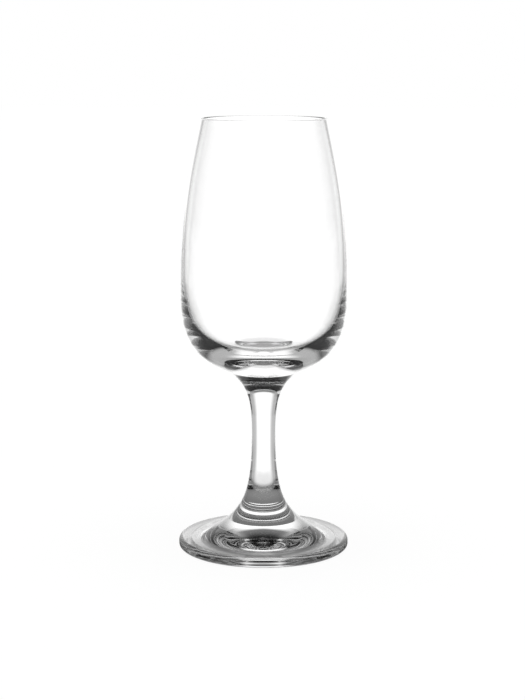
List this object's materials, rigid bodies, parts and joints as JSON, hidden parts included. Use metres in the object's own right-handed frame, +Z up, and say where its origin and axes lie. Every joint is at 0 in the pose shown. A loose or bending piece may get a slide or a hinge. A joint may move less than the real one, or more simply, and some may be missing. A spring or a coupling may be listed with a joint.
{
  "type": "sherry glass",
  "caption": "Clear stemmed sherry glass with a tall tulip bowl that narrows to a thin rim, a waisted solid stem and a round conical foot.",
  "frame": {"origin": "on the axis of the glass, in the plane of the ring that the foot rests on", "axes": "+Z up along the axis of the glass, from the foot to the rim; every piece is turned about it, so X and Y are free"},
  "size_m": [0.0558, 0.0558, 0.14],
  "materials": {
    "clear_glass": "fire-polished, colourless and clear"
  },
  "bodies": {
    "root": {"bowl": "clear_glass", "stem": "clear_glass", "foot": "clear_glass"}
  },
  "joints": []
}
